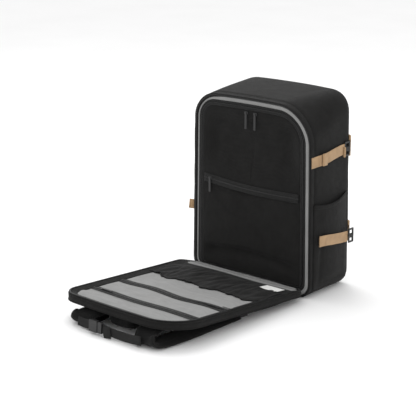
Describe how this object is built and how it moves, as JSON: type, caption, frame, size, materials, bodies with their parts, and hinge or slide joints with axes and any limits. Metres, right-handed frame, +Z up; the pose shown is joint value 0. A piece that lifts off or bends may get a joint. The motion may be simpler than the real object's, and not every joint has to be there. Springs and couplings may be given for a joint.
{
  "type": "travel backpack",
  "caption": "Upright soft travel backpack opened flat like a clamshell, with a zipped mesh cover, pocketed fold-down back panel, harness and side compression straps.",
  "frame": {"origin": "centre of the body's flat base, 70 mm behind the plane of the opening", "axes": "+Z up, +X across the width, the opening faces -Y and the body's depth runs to +Y"},
  "size_m": [0.3828, 0.6294, 0.4615],
  "materials": {
    "shell_fabric": "matt woven",
    "cover_fabric": "fine mesh weave",
    "pad_fabric": "padded matt fabric",
    "lining": "matt woven",
    "zip": "ribbed tape with coil",
    "webbing_tan": "woven webbing",
    "webbing_black": "woven webbing",
    "plastic": "satin moulded",
    "label": "satin"
  },
  "bodies": {
    "body": {"body_shell": "shell_fabric", "clamshell_zip_body": "zip", "lining_strip": "lining", "cover_zip_tape_body": "zip", "hinge_band": "lining", "side_pocket_right": "shell_fabric", "upper_strap_right": "webbing_tan", "upper_anchor_right": "webbing_tan", "lower_strap_right": "webbing_tan", "lower_anchor_right": "webbing_tan", "upper_keeper_right": "webbing_tan", "side_pocket_left": "shell_fabric", "upper_strap_left": "webbing_tan", "upper_anchor_left": "webbing_tan", "lower_strap_left": "webbing_tan", "lower_anchor_left": "webbing_tan", "upper_keeper_left": "webbing_tan"},
    "upper_hook_right": {"upper_hook_right": "plastic"},
    "upper_hook_left": {"upper_hook_left": "plastic"},
    "lower_hook_right": {"lower_hook_right": "plastic"},
    "lower_hook_left": {"lower_hook_left": "plastic"},
    "cover": {"cover_zip_tape": "zip", "cover_panel": "cover_fabric", "cover_pocket_zip": "zip"},
    "cover_zip_slider_right": {"cover_zip_slider_right": "plastic"},
    "cover_zip_pull_right": {"cover_zip_pull_right": "plastic"},
    "cover_zip_slider_left": {"cover_zip_slider_left": "plastic"},
    "cover_zip_pull_left": {"cover_zip_pull_left": "plastic"},
    "cover_pocket_slider_end": {"cover_pocket_slider_end": "plastic"},
    "cover_pocket_pull_end": {"cover_pocket_pull_end": "plastic"},
    "flap": {"flap_panel": "shell_fabric", "flap_rim": "shell_fabric", "clamshell_zip_flap": "zip", "flap_lining": "lining", "gathered_pocket": "cover_fabric", "grey_pocket_near": "lining", "pocket_zip_near": "zip", "grey_pocket_middle": "lining", "pocket_zip_far": "zip", "grey_pocket_far": "lining", "size_label": "label", "elastic_tab": "lining", "back_pad_upper": "pad_fabric", "lumbar_pad": "pad_fabric", "shoulder_strap_right": "pad_fabric", "ladder_lock_right": "plastic", "strap_webbing_right": "webbing_black", "chest_webbing_right": "webbing_black", "shoulder_strap_left": "pad_fabric", "ladder_lock_left": "plastic", "strap_webbing_left": "webbing_black", "chest_webbing_left": "webbing_black", "chest_buckle_socket": "plastic", "chest_buckle_plug": "plastic", "chest_webbing_tail": "webbing_black"},
    "pocket_slider_near": {"pocket_slider_near": "plastic"},
    "pocket_pull_near": {"pocket_pull_near": "plastic"},
    "pocket_slider_far": {"pocket_slider_far": "plastic"},
    "pocket_pull_far": {"pocket_pull_far": "plastic"}
  },
  "joints": [
    {"name": "upper_hook_right_swing", "type": "hinge", "parent": "body", "child": "upper_hook_right", "pos_m": [0.17251, 0.05775, 0.328], "axis": [0, 0, -1], "range_deg": [0, 60]},
    {"name": "upper_hook_left_swing", "type": "hinge", "parent": "body", "child": "upper_hook_left", "pos_m": [-0.17251, 0.05775, 0.328], "axis": [0, 0, 1], "range_deg": [0, 60]},
    {"name": "lower_hook_right_swing", "type": "hinge", "parent": "body", "child": "lower_hook_right", "pos_m": [0.18989, 0.05775, 0.126], "axis": [0, 0, -1], "range_deg": [0, 60]},
    {"name": "lower_hook_left_swing", "type": "hinge", "parent": "body", "child": "lower_hook_left", "pos_m": [-0.18989, 0.05775, 0.126], "axis": [0, 0, 1], "range_deg": [0, 60]},
    {"name": "cover_opening", "type": "hinge", "parent": "body", "child": "cover", "pos_m": [0, -0.0692, 0.0216], "axis": [1, 0, 0], "range_deg": [0, 60]},
    {"name": "cover_zip_slider_right_run", "type": "slide", "parent": "cover", "child": "cover_zip_slider_right", "axis": [1, 0, 0], "range_m": [0, 0.05]},
    {"name": "cover_zip_pull_right_swing", "type": "hinge", "parent": "cover_zip_slider_right", "child": "cover_zip_pull_right", "pos_m": [0.013, -0.07235, 0.4075], "axis": [-1, 0, 0], "range_deg": [0, 90]},
    {"name": "cover_zip_slider_left_run", "type": "slide", "parent": "cover", "child": "cover_zip_slider_left", "axis": [1, 0, 0], "range_m": [-0.05, 0]},
    {"name": "cover_zip_pull_left_swing", "type": "hinge", "parent": "cover_zip_slider_left", "child": "cover_zip_pull_left", "pos_m": [-0.013, -0.07235, 0.4075], "axis": [-1, 0, 0], "range_deg": [0, 90]},
    {"name": "cover_pocket_slider_end_run", "type": "slide", "parent": "cover", "child": "cover_pocket_slider_end", "axis": [1, 0, 0], "range_m": [0, 0.235]},
    {"name": "cover_pocket_pull_end_swing", "type": "hinge", "parent": "cover_pocket_slider_end", "child": "cover_pocket_pull_end", "pos_m": [-0.12, -0.07355, 0.2365], "axis": [-1, 0, 0], "range_deg": [0, 90]},
    {"name": "flap_hinge", "type": "hinge", "parent": "body", "child": "flap", "pos_m": [0, -0.0805, 0.024], "axis": [1, 0, 0], "range_deg": [-86, 0]},
    {"name": "pocket_slider_near_run", "type": "slide", "parent": "flap", "child": "pocket_slider_near", "axis": [1, 0, 0], "range_m": [-0.25, 0]},
    {"name": "pocket_pull_near_swing", "type": "hinge", "parent": "pocket_slider_near", "child": "pocket_pull_near", "pos_m": [0.132, -0.33791, 0.04867], "axis": [0, 0.9976, -0.0698], "range_deg": [0, 100]},
    {"name": "pocket_slider_far_run", "type": "slide", "parent": "flap", "child": "pocket_slider_far", "axis": [1, 0, 0], "range_m": [0, 0.23]},
    {"name": "pocket_pull_far_swing", "type": "hinge", "parent": "pocket_slider_far", "child": "pocket_pull_far", "pos_m": [-0.126, -0.42769, 0.05494], "axis": [0, -0.9976, 0.0698], "range_deg": [0, 100]}
  ]
}
